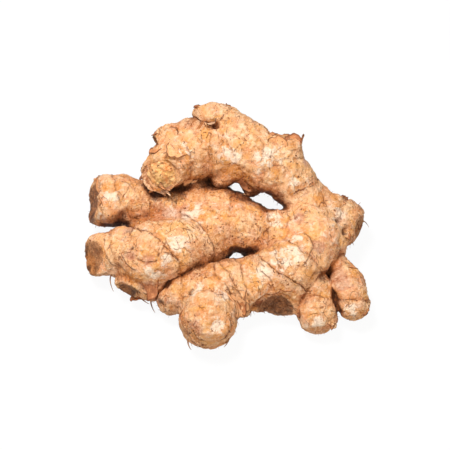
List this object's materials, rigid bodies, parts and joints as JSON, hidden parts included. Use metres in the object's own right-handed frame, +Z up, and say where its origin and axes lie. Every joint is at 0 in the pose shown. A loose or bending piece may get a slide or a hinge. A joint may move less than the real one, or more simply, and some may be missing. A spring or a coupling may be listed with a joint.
{
  "type": "ginger root",
  "caption": "Knobbly branched hand of fresh ginger lying on its underside, with blunt fingers, ringed skin, buds and healed cut ends.",
  "frame": {"origin": "on the surface that the hand lies on, below the middle of its outline", "axes": "+Z up from that surface; +X along the hand's longest side, towards the heel; -Y towards the side that the stubby front fingers point to"},
  "size_m": [0.1516, 0.1266, 0.0568],
  "materials": {
    "ginger_skin": "satin",
    "dry_scale": "matte",
    "root_fibre": "matte"
  },
  "bodies": {
    "root": {"ginger_rhizome": "ginger_skin"}
  },
  "joints": []
}
